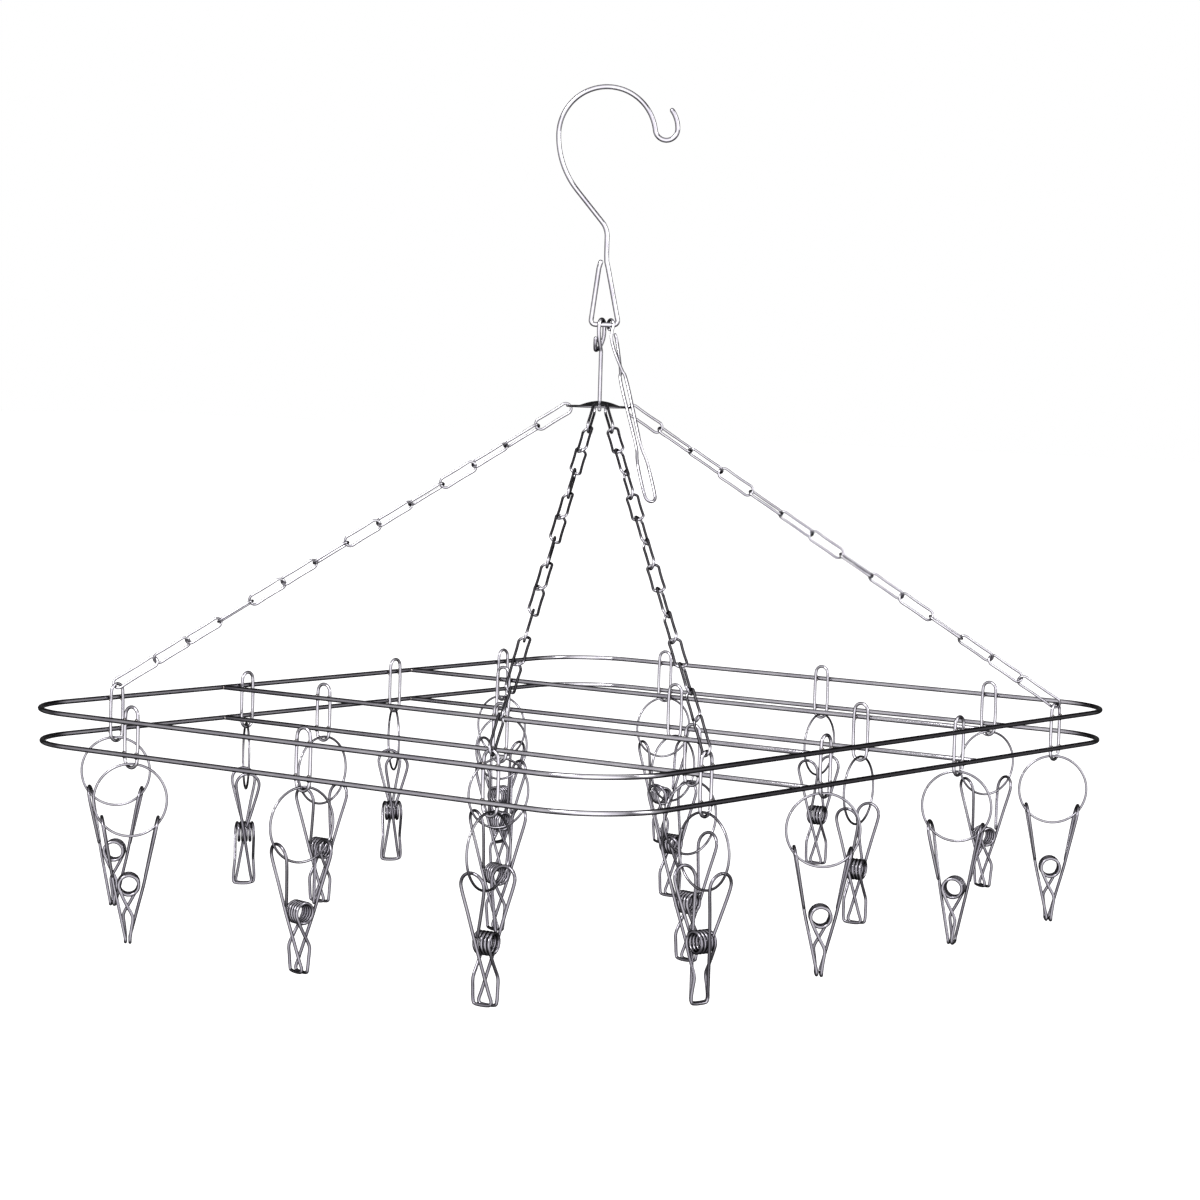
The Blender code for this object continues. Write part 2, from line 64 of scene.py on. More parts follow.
# Hook
HOOK_RADIUS = 0.0215
HOOK_CURL_RADIUS = 0.005
HOOK_BACK_RADIUS = 0.038
HOOK_BACK_TURN = math.radians(40)
HOOK_NECK_RADIUS = 0.010
HOOK_EYE_TOP = 0.076
HOOK_EYE_LEFT = 0.0048
HOOK_EYE_RIGHT = 0.0070
HOOK_EYE_CORNER = 0.0018
HOOK_EYE_EASE = 0.003       # how far the wires bend apart above and below the eye's top

# Swivel rod and plate
ROD_EYE_TURN = math.radians(10)
ROD_EYE_HEIGHT = 0.0142
ROD_EYE_HALF = 0.0026
PLATE_THICKNESS = 0.0008
DOME_RADIUS = 0.0095
DOME_RISE = 0.0022
PLATE_HOLE_RADIUS = 0.0021
PLATE_HOLE_CIRCLE = 0.0122

# Chains
LINKS = 14
LINK_WIDTH = 0.0060
LINK_TWIST = math.radians(118)
END_LINK_SHARE = 1.27

# Safety clip
SAFETY_LENGTH = 0.085
SAFETY_CROSS = 0.023
SAFETY_WAIST = 0.060
SAFETY_HALF_WIDTH = 0.0027
SAFETY_LEG_SPREAD = 0.0019
SAFETY_LEG_CLOSE = 0.0008

# Frame loops, rings and clips
TIER_GAP = 0.014
SITES = 20                  # loops, each with its ring and clip
LOOP_WIDTH = 0.0085
WELD_RADIUS = 0.00075
WELD_SPACING = 0.0009       # each loop's welds above and below a tier's wire
CORNER_RADIUS = 0.035
CLIP_SPREAD = 0.0234
CLIP_HANDLE = 0.0285
CLIP_HANDLE_WIDTH = 0.0106
CLIP_JAW = 0.0240
CLIP_JAW_WIDTH = 0.0098
JAW_GAP = 0.0005
COIL_DIAMETER = 0.0084
COIL_TURNS = 4.5
COIL_LEAD = math.radians(30)


# ---------------------------------------------------------------- shapes

def horizontal(angle):
    return Vector((math.cos(angle), math.sin(angle), 0))


def arc(center, radius, start, end, steps):
    """Points in a plane along an arc, both ends included, with angles in radians."""
    turns = [start + (end - start) * i / steps for i in range(steps + 1)]
    return [(center[0] + radius * math.cos(a), center[1] + radius * math.sin(a)) for a in turns]


def stadium(length, width, steps):
    """A closed outline with round ends, its long axis along the second coordinate."""
    radius, reach = width / 2, (length - width) / 2
    return arc((0, reach), radius, 0, math.pi, steps) + arc((0, -reach), radius, math.pi, 2 * math.pi, steps)


def smooth(points, steps=6, closed=False):
    """A smooth curve through the points, with centripetal spacing so that it doesn't loop at tight bends."""
    points = [Vector(point) for point in points]
    count = len(points)
    if closed:
        around = [points[-1]] + points + points[:2]
        spans = count
    else:
        around = [2 * points[0] - points[1]] + points + [2 * points[-1] - points[-2]]
        spans = count - 1
    curve = []
    for i in range(spans):
        p = around[i:i + 4]
        t = [0.0]
        for a, b in zip(p, p[1:]):
            t.append(t[-1] + max((b - a).length, 1e-7) ** 0.5)
        for step in range(steps):
            u = t[1] + (t[2] - t[1]) * step / steps
            a1 = p[0].lerp(p[1], (u - t[0]) / (t[1] - t[0]))
            a2 = p[1].lerp(p[2], (u - t[1]) / (t[2] - t[1]))
            a3 = p[2].lerp(p[3], (u - t[2]) / (t[3] - t[2]))
            b1 = a1.lerp(a2, (u - t[0]) / (t[2] - t[0]))
            b2 = a2.lerp(a3, (u - t[1]) / (t[3] - t[1]))
            curve.append(b1.lerp(b2, (u - t[1]) / (t[2] - t[1])))
    return curve if closed else curve + [points[-1]]


def wire_mesh(name, paths, diameter, closed=False, sides=12):
    """One mesh of round wires along the paths, smooth, with rounded ends where a path is open."""
    mesh = bpy.data.meshes.new(name)
    shape = bmesh.new()
    for path in paths:
        add_wire(shape, [Vector(point) for point in path], diameter / 2, closed, sides)
    bmesh.ops.recalc_face_normals(shape, faces=shape.faces)
    shape.to_mesh(mesh)
    shape.free()
    mesh.shade_smooth()
    return mesh


def add_wire(shape, path, radius, closed, sides):
    """Sweeps a circle along the path, carrying its orientation from point to point."""
    count = len(path)
    tangents = []
    for i in range(count):
        before = path[i - 1] if closed or i else path[0]
        after = path[(i + 1) % count] if closed or i < count - 1 else path[-1]
        tangents.append((after - before).normalized())
    side = tangents[0].orthogonal().normalized()
    sides_at = [side]
    for a, b in zip(tangents, tangents[1:]):
        side = a.rotation_difference(b) @ side
        side = (side - b * side.dot(b)).normalized()
        sides_at.append(side)
    twist = 0.0
    if closed:
        last = tangents[-1].rotation_difference(tangents[0]) @ sides_at[-1]
        twist = math.atan2(last.cross(sides_at[0]).dot(tangents[0]), last.dot(sides_at[0]))
    stations = [(path[i], tangents[i], sides_at[i], twist * i / count, radius) for i in range(count)]
    if not closed:
        tip, base = stations[0], stations[-1]
        round_off = ((0.55, 0.82), (0.92, 0.42))
        stations = [(tip[0] - tip[1] * radius * along, *tip[1:4], radius * width)
                    for along, width in reversed(round_off)] + stations
        stations += [(base[0] + base[1] * radius * along, *base[1:4], radius * width)
                     for along, width in round_off]
    loops = []
    for place, tangent, across, turn, reach in stations:
        up = tangent.cross(across)
        loops.append([
            shape.verts.new(place + reach * (across * math.cos(turn + 2 * math.pi * k / sides)
                                             + up * math.sin(turn + 2 * math.pi * k / sides)))
            for k in range(sides)])
    spans = list(zip(loops, loops[1:])) + ([(loops[-1], loops[0])] if closed else [])
    for one, two in spans:
        for k in range(sides):
            shape.faces.new((one[k], one[(k + 1) % sides], two[(k + 1) % sides], two[k]))
    if not closed:
        shape.faces.new(loops[0])
        shape.faces.new(reversed(loops[-1]))


def add_piece(name, mesh, material, body, matrix=None, nodes=()):
    """Places one piece on its body, standing in for the given nodes of the part."""
    piece = bpy.data.objects.new(name, mesh)
    bpy.context.scene.collection.objects.link(piece)
    if not mesh.materials:
        mesh.materials.append(material)
    if matrix is not None:
        piece.matrix_world = matrix
    bpy.context.view_layer.update()
    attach(piece, body)
    if nodes:
        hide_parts(*nodes)


# ---------------------------------------------------------------- materials

def steel(name, color, roughness, streak_scale, tint=(0.93, 0.91, 0.97), edge=0.05):
    """Drawn and polished steel: fine streaks, soft stains, and painted shade that darkens the wires towards
    their edges, where they turn away from the view.
    """
    material = bpy.data.materials.new(name)
    material.use_nodes = True
    nodes, links = material.node_tree.nodes, material.node_tree.links
    shader = nodes["Principled BSDF"]
    shader.inputs["Metallic"].default_value = 1.0
    place = nodes.new("ShaderNodeTexCoord")

    def noise(scale, detail, rough):
        texture = nodes.new("ShaderNodeTexNoise")
        texture.inputs["Scale"].default_value = scale
        texture.inputs["Detail"].default_value = detail
        texture.inputs["Roughness"].default_value = rough
        links.new(place.outputs["Object"], texture.inputs["Vector"])
        return texture

    stains = noise(55, 5, 0.6)
    streaks = noise(streak_scale, 3, 0.7)
    ramp = nodes.new("ShaderNodeValToRGB")
    ramp.color_ramp.elements[0].position = 0.32
    ramp.color_ramp.elements[0].color = (*(c * 0.72 * t for c, t in zip(color, tint)), 1)
    ramp.color_ramp.elements[1].position = 0.68
    ramp.color_ramp.elements[1].color = (*color, 1)
    links.new(stains.outputs["Fac"], ramp.inputs["Fac"])
    # Painted shade: the base colour is multiplied darker where the surface turns away from the view, down to
    # the edge colour at each wire's rims.
    facing = nodes.new("ShaderNodeLayerWeight")
    facing.inputs["Blend"].default_value = 0.5
    painted_edge_shade = nodes.new("ShaderNodeValToRGB")
    painted_edge_shade.color_ramp.elements[0].position = 0.12
    painted_edge_shade.color_ramp.elements[0].color = (1, 1, 1, 1)
    painted_edge_shade.color_ramp.elements[1].position = 0.42
    painted_edge_shade.color_ramp.elements[1].color = (edge, edge * 0.95, edge * 1.05, 1)
    links.new(facing.outputs["Facing"], painted_edge_shade.inputs["Fac"])
    shade = nodes.new("ShaderNodeMix")
    shade.data_type, shade.blend_type = "RGBA", "MULTIPLY"
    shade.inputs["Factor"].default_value = 1.0
    links.new(ramp.outputs["Color"], shade.inputs[6])
    links.new(painted_edge_shade.outputs["Color"], shade.inputs[7])
    links.new(shade.outputs[2], shader.inputs["Base Color"])
    shine = nodes.new("ShaderNodeMapRange")
    shine.inputs["From Min"].default_value = 0.3
    shine.inputs["From Max"].default_value = 0.7
    shine.inputs["To Min"].default_value = roughness * 0.6
    shine.inputs["To Max"].default_value = roughness * 1.5
    links.new(streaks.outputs["Fac"], shine.inputs["Value"])
    links.new(shine.outputs["Result"], shader.inputs["Roughness"])
    bump = nodes.new("ShaderNodeBump")
    bump.inputs["Strength"].default_value = 0.12
    bump.inputs["Distance"].default_value = 0.00005
    links.new(streaks.outputs["Fac"], bump.inputs["Height"])
    links.new(bump.outputs["Normal"], shader.inputs["Normal"])
    return material


def weld_material():
    """The small bright-grey beads of the spot welds, rougher than the wire and slightly browned."""
    return steel("weld", (0.52, 0.50, 0.49), 0.42, 2600, tint=(0.85, 0.78, 0.74))


# ---------------------------------------------------------------- hook, rod, plate

def hook_path():
    """Points (across, up) from the hook's curled tip, over the rail and down to the end of its eye."""
    middle = (0, HOOK_WIRE / 2 - HOOK_RADIUS)
    tip_turn = math.radians(8)
    start = (middle[0] + HOOK_RADIUS * math.cos(tip_turn), middle[1] + HOOK_RADIUS * math.sin(tip_turn))
    curl = (start[0] + HOOK_CURL_RADIUS * math.cos(tip_turn),
            start[1] + HOOK_CURL_RADIUS * math.sin(tip_turn))
    tip_radius = 2.8 * HOOK_CURL_RADIUS
    tip_center = (curl[0] + HOOK_CURL_RADIUS - tip_radius, curl[1])
    points = arc(tip_center, tip_radius, math.radians(36), 0, 8)[:-1]
    points += arc(curl, HOOK_CURL_RADIUS, 0, -math.pi + tip_turn, 20)
    points += arc(middle, HOOK_RADIUS, tip_turn, math.pi, 64)[1:]
    back = (middle[0] - HOOK_RADIUS + HOOK_BACK_RADIUS, middle[1])
    points += arc(back, HOOK_BACK_RADIUS, math.pi, math.pi + HOOK_BACK_TURN, 20)[1:]
    shaft = (HOOK_WIRE + CLEARANCE) / 2
    last = points[-1]
    slope = 1 / math.tan(HOOK_BACK_TURN)
    bend = HOOK_NECK_RADIUS * (1 - math.cos(HOOK_BACK_TURN))
    neck_start = (shaft - bend, last[1] - (shaft - bend - last[0]) * slope)
    neck = (neck_start[0] - HOOK_NECK_RADIUS * math.cos(HOOK_BACK_TURN),
            neck_start[1] - HOOK_NECK_RADIUS * math.sin(HOOK_BACK_TURN))
    points += arc(neck, HOOK_NECK_RADIUS, HOOK_BACK_TURN, 0, 10)
    bottom = JOINTS["rod_swing"]["pos_m"][2]
    corner = HOOK_EYE_CORNER
    points += [(shaft, HOOK_EYE_EASE - HOOK_EYE_TOP), (shaft * 1.1, -HOOK_EYE_TOP),
               (shaft * 1.7, -HOOK_EYE_TOP - HOOK_EYE_EASE)]
    points += arc((HOOK_EYE_RIGHT - corner, bottom + corner), corner, math.radians(10), -math.pi / 2, 8)
    points += arc((corner - HOOK_EYE_LEFT, bottom + corner), corner, -math.pi / 2, -math.radians(190), 8)
    points += [(-shaft * 1.6, -HOOK_EYE_TOP - HOOK_EYE_EASE), (-shaft, -HOOK_EYE_TOP - CLEARANCE)]
    return points


def build_hook(material):
    across = Vector(JOINTS["rod_swing"]["axis"])
    path = [across * u + UP * v for u, v in hook_path()]
    add_piece("hook_wire", wire_mesh("hook_wire", [path], HOOK_WIRE, sides=20), material,
              "hook", nodes=("hook",))


def build_rod(material):
    """The rod's wire makes an eye over the hook's bar, and its free end folds back up beside the eye."""
    pivot = Vector(JOINTS["rod_swing"]["pos_m"])
    plate = JOINTS["frame_swivel"]["pos_m"][2]
    side = horizontal(ROD_EYE_TURN)
    top = (HOOK_WIRE + ROD_WIRE) / 2 + CLEARANCE
    low, half = top - ROD_EYE_HEIGHT, ROD_EYE_HALF
    through = side.cross(UP)
    height, front = ROD_EYE_HEIGHT, -ROD_WIRE - CLEARANCE / 3
    eye = [(-1.75 * half, 0.3 * front, low + 0.40 * height), (-1.35 * half, 0.6 * front, low + 0.18 * height),
           (-0.5 * half, front, low + 0.04 * height), (0.4 * half, 0.7 * front, low + 0.13 * height),
           (0.92 * half, 0.1 * front, low + 0.42 * height)]
    eye += [(u, 0, w) for u, w in arc((0, top - half), half, 0, math.pi, 8)]
    eye += [(-0.92 * half, 0, low + 0.45 * height), (-0.4 * half, 0, low + 0.17 * height), (0, 0, low)]
    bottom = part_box("swivel_eye_rod")[0].z - pivot.z + 0.0006
    eye += [(0, 0, low - 0.002), (0, 0, 0.5 * (low + bottom)), (0, 0, bottom)]
    path = [pivot + side * u + through * v + UP * w for u, v, w in eye]
    add_piece("rod_wire", wire_mesh("rod_wire", [smooth(path, 8)], ROD_WIRE, sides=16), material,
              "swivel_rod", nodes=("swivel_eye_rod",))
    head_top = plate + DOME_RISE - PLATE_THICKNESS / 2 - CLEARANCE
    profile = [(r, head_top - drop) for r, drop in (
        (0.0002, 0), (0.0024, 0), (0.0027, 0.0003), (0.0026, 0.0009), (0.0018, 0.0015), (0.0002, 0.0017))]
    add_piece("rod_head", turned_mesh("rod_head", profile, 40), material, "swivel_rod")


def turned_mesh(name, profile, steps):
    """A closed shape turned about Z from points (radius, height)."""
    mesh = bpy.data.meshes.new(name)
    shape = bmesh.new()
    turns = [2 * math.pi * k / steps for k in range(steps)]
    rows = [[shape.verts.new((r * math.cos(turn), r * math.sin(turn), z)) for turn in turns]
            for r, z in profile]
    for one, two in zip(rows, rows[1:] + rows[:1]):
        for k in range(steps):
            shape.faces.new((one[k], one[(k + 1) % steps], two[(k + 1) % steps], two[k]))
    bmesh.ops.recalc_face_normals(shape, faces=shape.faces)
    shape.to_mesh(mesh)
    shape.free()
    mesh.shade_smooth()
    mesh.set_sharp_from_angle(angle=math.radians(40))
    return mesh


CHAINS = {
    "chain_left": "ring_01_swing",
    "chain_right": "ring_08_swing",
    "chain_front_right": "ring_05_swing",
    "chain_front_left": "ring_11_swing",
}


def chain_line(name):
    """The horizontal direction from the swivel to the loop that holds this chain."""
    place = JOINTS[CHAINS[name]]["pos_m"]
    return Vector((place[0], place[1], 0)).normalized()


def build_plate(material):
    low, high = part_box("chain_plate")
    z = JOINTS["frame_swivel"]["pos_m"][2]
    rim, half = high.x, PLATE_THICKNESS / 2
    rod_hole = ROD_WIRE / 2 + CLEARANCE
    dome = [(DOME_RADIUS * t, DOME_RISE * (1 - t * t) ** 1.2) for t in (0.95, 0.8, 0.6, 0.4, 0.22)]
    middle_line = [(rim - 0.0004, 0), (DOME_RADIUS + 0.0012, 0), (DOME_RADIUS, 0.00012)]
    middle_line += dome + [(rod_hole, DOME_RISE)]
    top = [(r, z + h + half) for r, h in middle_line]
    under = [(r, z + h - half) for r, h in reversed(middle_line)]
    edge = [(rim - 0.0001, z - half + 0.0002), (rim, z), (rim - 0.0001, z + half - 0.0002)]
    mesh = turned_mesh("plate", top + under + edge, 96)
    plate = bpy.data.objects.new("plate", mesh)
    bpy.context.scene.collection.objects.link(plate)
    mesh.materials.append(material)
    cutters = []
    for name in CHAINS:
        shape = bmesh.new()
        bmesh.ops.create_cone(shape, cap_ends=True, segments=32, radius1=PLATE_HOLE_RADIUS,
                              radius2=PLATE_HOLE_RADIUS, depth=0.008,
                              matrix=Matrix.Translation(chain_line(name) * PLATE_HOLE_CIRCLE + UP * z))
        cut_mesh = bpy.data.meshes.new("hole")
        shape.to_mesh(cut_mesh)
        shape.free()
        cutter = bpy.data.objects.new("hole", cut_mesh)
        bpy.context.scene.collection.objects.link(cutter)
        cut = plate.modifiers.new(name, "BOOLEAN")
        cut.operation = "DIFFERENCE"
        cut.object = cutter
        cutters.append(cutter)
    bpy.context.view_layer.update()
    graph = bpy.context.evaluated_depsgraph_get()
    finished = bpy.data.meshes.new_from_object(plate.evaluated_get(graph))
    plate.modifiers.clear()
    plate.data = finished
    for cutter in cutters:
        bpy.data.objects.remove(cutter)
    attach(plate, "hanger_frame")
    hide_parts("chain_plate")


# ---------------------------------------------------------------- chains

def link_shape(length, width):
    """A link's centre line, long ends along Y, with its sides drawn in slightly at the middle."""
    radius, reach = width / 2, (length - width) / 2
    waist = 0.94
    return (arc((0, reach), radius, 0, math.pi, 12)
            + [(-radius * waist, reach * 0.35), (-radius * waist, -reach * 0.35)]
            + arc((0, -reach), radius, math.pi, 2 * math.pi, 12)
            + [(radius * waist, -reach * 0.35), (radius * waist, reach * 0.35)])


def build_chain(name, material):
    """Separate links, each turned by the same angle from the one before, and a longer link at the loop."""
    joint = JOINTS[CHAINS[name]]
    plate_z = JOINTS["frame_swivel"]["pos_m"][2]
    radial, bar = chain_line(name), Vector(joint["axis"])
    loop_top = Vector((joint["pos_m"][0], joint["pos_m"][1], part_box("lower_frame_wire")[1].z - LOOP_WIRE / 2))
    edge = radial * (PLATE_HOLE_CIRCLE + PLATE_HOLE_RADIUS) + UP * plate_z
    slope = (edge.z - loop_top.z) / (loop_top - edge).to_2d().length
    inset = (CHAIN_WIRE / 2 + CLEARANCE) * math.hypot(1, slope) + PLATE_THICKNESS / 2 * slope
    start = edge - radial * inset
    direction = (loop_top - start).normalized()
    end = loop_top + direction * ((LOOP_WIRE + CHAIN_WIRE) / 2 + CLEARANCE)
    hold = CHAIN_WIRE * 1.04
    pitch = ((end - start).length - hold) / (LINKS - 1 + END_LINK_SHARE)
    upright = direction.cross(radial).normalized().cross(direction)
    for i in range(LINKS):
        last = i == LINKS - 1
        length = (end - start).length - pitch * i if last else pitch + hold
        wide = Matrix.Rotation(i * LINK_TWIST, 3, direction) @ upright
        if last:
            wide = direction.cross(bar).normalized()
        flat = wide.cross(direction)
        place = start + direction * (pitch * i + length / 2)
        axes = Matrix((wide, direction, flat)).transposed().to_4x4()
        key = f"link_{length:.5f}"
        mesh = bpy.data.meshes.get(key)
        if mesh is None:
            path = [(u, v, 0) for u, v in link_shape(length, LINK_WIDTH - CHAIN_WIRE)]
            mesh = wire_mesh(key, [path], CHAIN_WIRE, closed=True, sides=12)
        add_piece(f"{name}_link_{i + 1:02d}", mesh, material, "hanger_frame",
                  matrix=Matrix.Translation(place) @ axes, nodes=(name,) if i == 0 else ())


# ---------------------------------------------------------------- safety clip

def build_safety_clip(material):
    """A long sprung hairpin: its legs cross below the hook and its closed end rests against the plate."""
    joint = JOINTS["safety_clip_swing"]
    pivot, across = Vector(joint["pos_m"]), -Vector(joint["axis"])
    forward = across.cross(UP)
    half, layer = SAFETY_HALF_WIDTH, (SAFETY_WIRE + CLEARANCE) / 2
    skew = across.dot(Vector(JOINTS["rod_swing"]["axis"]))
    over = (HOOK_WIRE / abs(skew) + SAFETY_WIRE) / 2 + CLEARANCE
    plate = JOINTS["frame_swivel"]["pos_m"][2]
    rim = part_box("chain_plate")[1].x
    drop = pivot.z - plate - PLATE_THICKNESS / 2
    lean = math.atan2(rim, drop) + math.asin((layer + SAFETY_WIRE / 2 + CLEARANCE) / math.hypot(rim, drop))
    turn = Matrix.Rotation(-lean, 3, across)
    tip = SAFETY_LENGTH - half
    leg, close = SAFETY_LEG_SPREAD, SAFETY_LEG_CLOSE
    left = [(0.7 * leg, -0.4 * layer, 0.2 * SAFETY_CROSS), (leg, -layer, 0.3 * SAFETY_CROSS),
            (0, -layer, SAFETY_CROSS), (-close, -layer, SAFETY_CROSS + leg), (-close, -layer, SAFETY_WAIST),
            (-half * 0.72, -layer / 2, SAFETY_WAIST + 1.5 * half), (-half, 0, SAFETY_WAIST + 3 * half),
            (-half, 0, tip)]
    bottom = [(u, 0, tip + v) for u, v in arc((0, 0), half, 0.85 * math.pi, 0.15 * math.pi, 8)]
    right = [(-u, -v, w) for u, v, w in reversed(left[2:])] + [(-leg, layer, 0.3 * SAFETY_CROSS)]
    curl = [(0, v, -u) for u, v in arc((0, 0), over, math.radians(110), math.radians(-130), 16)]
    path = [pivot + turn @ (across * u + forward * v - UP * w) for u, v, w in left + bottom + right + curl]
    add_piece("safety_clip_wire", wire_mesh("safety_clip_wire", [smooth(path, 6)], SAFETY_WIRE, sides=14),
              material, "safety_clip", nodes=("safety_clip",))


# ---------------------------------------------------------------- frame

def rounded_rectangle(low, high, radius, steps):
    """A closed outline at the wire's centre, inside the given box."""
    points = []
    for quarter, (x, y) in enumerate(((high.x, high.y), (low.x, high.y), (low.x, low.y), (high.x, low.y))):
        sx, sy = (1 if x > 0 else -1), (1 if y > 0 else -1)
        center = (x - sx * (radius + FRAME_WIRE / 2), y - sy * (radius + FRAME_WIRE / 2))
        begin = quarter * math.pi / 2
        points += arc(center, radius, begin, begin + math.pi / 2, steps)
    return points


def weld_beads(name, places, radius, material, seed):
    """Small flattened beads where wires are welded, each a little different."""
    rand = random.Random(seed)
    shape = bmesh.new()
    for place, outward in places:
        size = radius * rand.uniform(0.85, 1.15)
        spin = Matrix.Rotation(rand.uniform(0, math.pi), 4, "Z")
        aim = Vector(outward).to_track_quat("Z", "Y").to_matrix().to_4x4()
        squash = Matrix.Diagonal((1.15, 1.0, 0.62, 1.0))
        matrix = Matrix.Translation(Vector(place)) @ aim @ spin @ squash
        bmesh.ops.create_icosphere(shape, subdivisions=2, radius=size, matrix=matrix)
    mesh = bpy.data.meshes.new(name)
    shape.to_mesh(mesh)
    shape.free()
    mesh.shade_smooth()
    add_piece(name, mesh, material, "hanger_frame")


def build_frame(steel_wire, weld):
    upper_low, upper_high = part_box("upper_frame_wire")
    upper_z = (upper_low.z + upper_high.z) / 2
    lower_low, lower_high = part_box("lower_frame_wire")
    loop_top, loop_bottom = lower_high.z - LOOP_WIRE / 2, JOINTS["ring_01_swing"]["pos_m"][2]
    lower_z = upper_z - TIER_GAP
    upper = rounded_rectangle(upper_low, upper_high, CORNER_RADIUS, 14)
    lower = rounded_rectangle(lower_low, lower_high, CORNER_RADIUS, 14)
    add_piece("upper_ring_wire", wire_mesh("upper_ring_wire", [[(x, y, upper_z) for x, y in upper]],
                                           FRAME_WIRE, closed=True, sides=16),
              steel_wire, "hanger_frame", nodes=("upper_frame_wire",))
    add_piece("lower_ring_wire", wire_mesh("lower_ring_wire", [[(x, y, lower_z) for x, y in lower]],
                                           FRAME_WIRE, closed=True, sides=16),
              steel_wire, "hanger_frame", nodes=("lower_frame_wire",))
    welds = []
    for side in ("left", "right"):
        for tier, z in (("upper", upper_z), ("lower", lower_z)):
            node = f"{tier}_crossbar_{side}"
            low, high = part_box(node)
            sign = -1 if side == "left" else 1
            x = high.x - FRAME_WIRE / 2 if sign > 0 else low.x + FRAME_WIRE / 2
            reach = (upper_high.y if tier == "upper" else lower_high.y) - FRAME_WIRE * 0.9
            path = [(x, -reach, z), (x, 0, z), (x, reach, z)]
            add_piece(f"{node}_wire", wire_mesh(node + "_wire", [path], FRAME_WIRE, sides=16),
                      steel_wire, "hanger_frame", nodes=(node,))
            for end in (-1, 1):
                for under in (-1, 1):
                    place = (x + under * FRAME_WIRE * 0.4, end * (reach - FRAME_WIRE * 0.1), z)
                    welds.append((place, (under, 0, 0.3)))
    height = loop_top - loop_bottom
    outline = smooth([(u, v, 0) for u, v in stadium(height, LOOP_WIDTH - LOOP_WIRE, 6)], 3, closed=True)
    loop = wire_mesh("loop", [outline], LOOP_WIRE, closed=True, sides=14)
    for number in range(1, SITES + 1):
        joint = JOINTS[f"ring_{number:02d}_swing"]
        place, side = Vector(joint["pos_m"]), Vector(joint["axis"])
        axes = Matrix((side, UP, side.cross(UP))).transposed().to_4x4()
        middle = Vector((place.x, place.y, (loop_top + loop_bottom) / 2))
        add_piece(f"loop_{number:02d}", loop, steel_wire, "hanger_frame",
                  matrix=Matrix.Translation(middle) @ axes)
        normal = side.cross(UP)
        outward = normal if normal.dot(Vector((place.x, place.y, 0))) > 0 else -normal
        for z in (upper_z, lower_z):
            for s in (-1, 1):
                at = middle + side * s * (LOOP_WIDTH - LOOP_WIRE) / 2 + outward * LOOP_WIRE * 0.55
                welds.append(((at.x, at.y, z + WELD_SPACING), outward + UP * 0.8))
                welds.append(((at.x, at.y, z - WELD_SPACING), outward - UP * 0.8))
    weld_beads("weld_beads", welds, WELD_RADIUS, weld, seed=7)


# ---------------------------------------------------------------- rings and clips

def ring_shape():
    """A plain wire ring about X whose ends nearly meet, with its centre at the origin."""
    radius = (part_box("ring_01")[1].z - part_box("ring_01")[0].z - RING_WIRE) / 2
    gap = math.radians(1.2)
    turn = math.radians(28)
    return radius, [(0, y, z) for y, z in arc((0, 0), radius, turn + gap, turn + 2 * math.pi - gap, 72)]


def half_clip_path():
    """Half of a clip's wire as (along the coil, across, up from the coil)."""
    side, jaw_side = CLIP_HANDLE_WIDTH / 2, CLIP_JAW_WIDTH / 2
    beside = COIL_DIAMETER / 2 + CLIP_WIRE + 2 * CLEARANCE
    slope = (CLIP_SPREAD / 2 - beside) / CLIP_HANDLE
    jaw = (JAW_GAP + CLIP_WIRE) / 2

    def on_handle(along, drop):
        return (along, beside + slope * (CLIP_HANDLE - drop), CLIP_HANDLE - drop)

    bend, shoulder = CLIP_WIRE, CLIP_HANDLE - side
    lean = (side + jaw_side - bend) / (shoulder + CLIP_JAW - bend)
    tail_height = 0.12 * CLIP_HANDLE
    tail_along = side - lean * (shoulder - tail_height) - CLIP_WIRE - 1.5 * CLEARANCE
    tail = [on_handle(tail_along, CLIP_HANDLE - tail_height),
            on_handle(0.5 * (tail_along - 0.97 * side), 0.5 * (CLIP_HANDLE - tail_height + 1.5 * side))]
    crown = [on_handle(side * math.cos(a), side * (1 - math.sin(a)))
             for a in (math.radians(t) for t in (190, 168, 145, 120, 90, 60, 35, 12, -8))]
    leg = [(side - lean * shoulder * t, beside + slope * shoulder * (1 - t), shoulder * (1 - t))
           for t in (0.45, 0.8, 1.0)]
    foot = bend - jaw_side
    leg += [(side - lean * (shoulder + drop), beside + (jaw - beside) * drop / (CLIP_JAW - bend), -drop)
            for drop in (0.4 * CLIP_JAW, 0.8 * CLIP_JAW)]
    tip = [(foot, jaw, bend - CLIP_JAW), (foot + 0.3 * bend, jaw, 0.25 * bend - CLIP_JAW),
           (foot + bend, jaw, -CLIP_JAW), (jaw_side - 1.2 * bend, jaw, -CLIP_JAW),
           (jaw_side - 0.3 * bend, jaw, 0.3 * bend - CLIP_JAW), (jaw_side, jaw, 1.3 * bend - CLIP_JAW)]
    kink = [(0.98 * jaw_side, 1.5 * jaw, -0.75 * CLIP_JAW), (0.92 * jaw_side, 2.05 * jaw, -0.58 * CLIP_JAW),
            (0.89 * jaw_side, 1.6 * jaw, -0.51 * CLIP_JAW), (0.86 * jaw_side, -0.2 * jaw, -0.38 * CLIP_JAW),
            (0.83 * jaw_side, -2.2 * jaw, -0.23 * CLIP_JAW)]
    return tail + crown + leg + tip + kink


